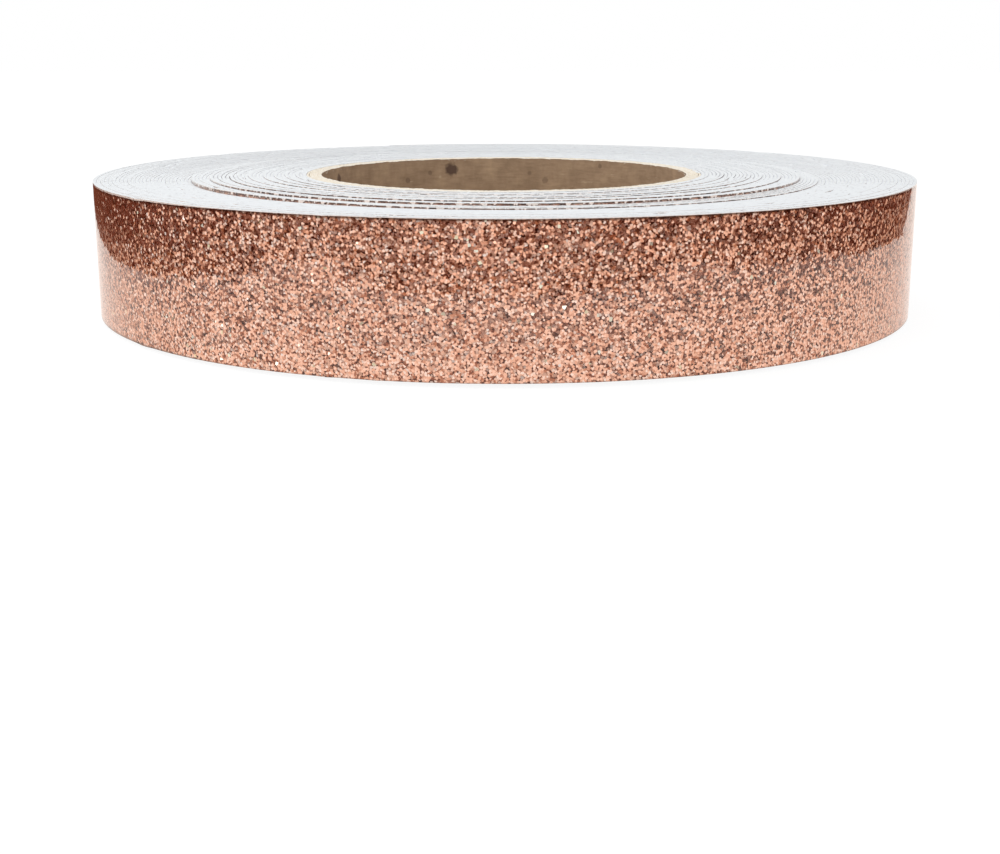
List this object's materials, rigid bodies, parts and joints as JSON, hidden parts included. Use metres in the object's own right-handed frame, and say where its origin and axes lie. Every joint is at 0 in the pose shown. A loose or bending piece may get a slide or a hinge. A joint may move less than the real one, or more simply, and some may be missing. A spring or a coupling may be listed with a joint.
{
  "type": "copper flake tape roll",
  "caption": "Wide copper flake adhesive tape on a white release liner, wound flake side out on a cardboard core, with a free end that lifts and peels.",
  "frame": {"origin": "on the core's axis, in the plane of the core's lower end", "axes": "+Z along the core's axis, upwards when the roll lies flat; +Y towards the tape's free end"},
  "size_m": [0.1679, 0.1682, 0.0274],
  "materials": {
    "core_kraft": "matt kraft paper",
    "core_chipboard": "cut greyboard",
    "tab_adhesive": "acrylic adhesive tab",
    "flake_film": "copper flake under a clear gloss coat",
    "release_liner": "smooth silicone-coated paper"
  },
  "bodies": {
    "roll": {"core_inner_ply": "core_kraft", "core_body_ply_1": "core_chipboard", "core_body_ply_2": "core_chipboard", "core_body_ply_3": "core_chipboard", "core_body_ply_4": "core_chipboard", "core_body_ply_5": "core_chipboard", "core_outer_ply": "core_kraft", "lead_end_tab": "tab_adhesive", "film_wound": "flake_film", "liner_wound": "release_liner"},
    "free_end_1": {"liner_free_1": "release_liner", "film_free_1": "flake_film"},
    "free_end_2": {"liner_free_2": "release_liner", "film_free_2": "flake_film"},
    "free_end_3": {"liner_free_3": "release_liner", "film_free_3": "flake_film"},
    "free_end_4": {"liner_free_4": "release_liner", "film_free_4": "flake_film"},
    "free_end_5": {"liner_free_5": "release_liner", "film_free_5": "flake_film"},
    "film_tip": {"film_tip": "flake_film"}
  },
  "joints": [
    {"name": "free_end_lift_1", "type": "hinge", "parent": "roll", "child": "free_end_1", "pos_m": [0.0394, 0.07445, 0.0141], "axis": [0, 0, -1], "range_deg": [0, 30]},
    {"name": "free_end_lift_2", "type": "hinge", "parent": "free_end_1", "child": "free_end_2", "pos_m": [0.02844, 0.07931, 0.0141], "axis": [0, 0, -1], "range_deg": [0, 30]},
    {"name": "free_end_lift_3", "type": "hinge", "parent": "free_end_2", "child": "free_end_3", "pos_m": [0.0169, 0.08257, 0.0141], "axis": [0, 0, -1], "range_deg": [0, 30]},
    {"name": "free_end_lift_4", "type": "hinge", "parent": "free_end_3", "child": "free_end_4", "pos_m": [0.00502, 0.08415, 0.0141], "axis": [0, 0, -1], "range_deg": [0, 30]},
    {"name": "free_end_lift_5", "type": "hinge", "parent": "free_end_4", "child": "free_end_5", "pos_m": [-0.00697, 0.08404, 0.0141], "axis": [0, 0, -1], "range_deg": [0, 30]},
    {"name": "film_tip_peel", "type": "hinge", "parent": "free_end_5", "child": "film_tip", "pos_m": [-0.01883, 0.08223, 0.0141], "axis": [0, 0, -1], "range_deg": [0, 75]}
  ],
  "couplings": [
    {"joint": "free_end_lift_2", "follows": "free_end_lift_1", "ratio": 1},
    {"joint": "free_end_lift_3", "follows": "free_end_lift_1", "ratio": 1},
    {"joint": "free_end_lift_4", "follows": "free_end_lift_1", "ratio": 1},
    {"joint": "free_end_lift_5", "follows": "free_end_lift_1", "ratio": 1}
  ]
}
